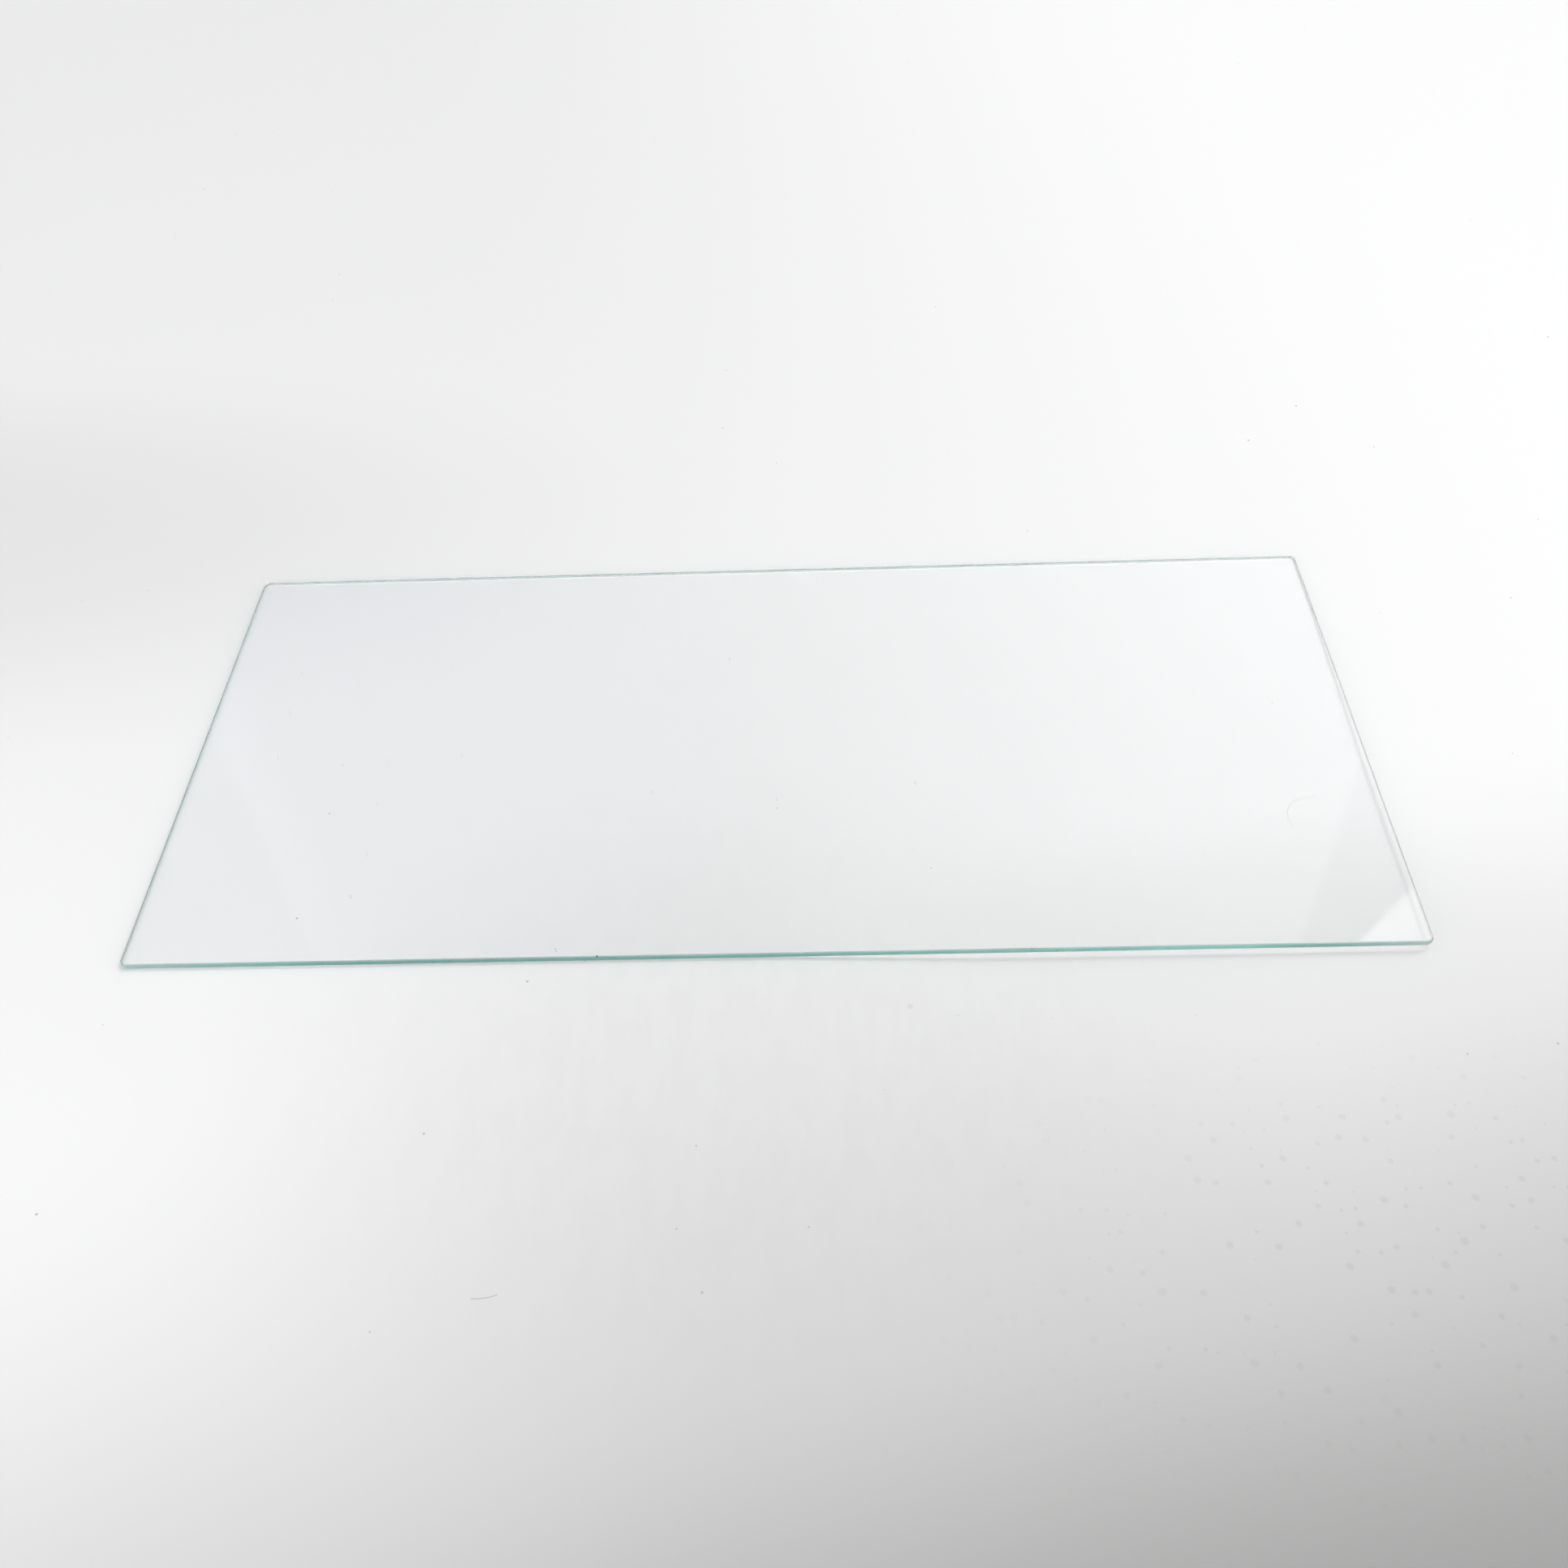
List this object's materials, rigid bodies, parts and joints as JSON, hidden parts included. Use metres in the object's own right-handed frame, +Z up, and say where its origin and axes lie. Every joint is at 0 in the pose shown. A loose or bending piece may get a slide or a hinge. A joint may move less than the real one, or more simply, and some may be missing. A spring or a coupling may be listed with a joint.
{
  "type": "crisper drawer cover",
  "caption": "Flat clear glass pane with seamed edges and ground-off corners, laid in a frame to cover a refrigerator's crisper drawer.",
  "frame": {"origin": "under the middle of the pane, in the plane of its lower face", "axes": "+X along the front edge to the right, +Y from front to back, +Z up out of the upper face"},
  "size_m": [0.61, 0.284, 0.0032],
  "materials": {
    "clear_glass": "polished faces, fine-ground edges"
  },
  "bodies": {
    "root": {"glass_pane": "clear_glass"}
  },
  "joints": []
}
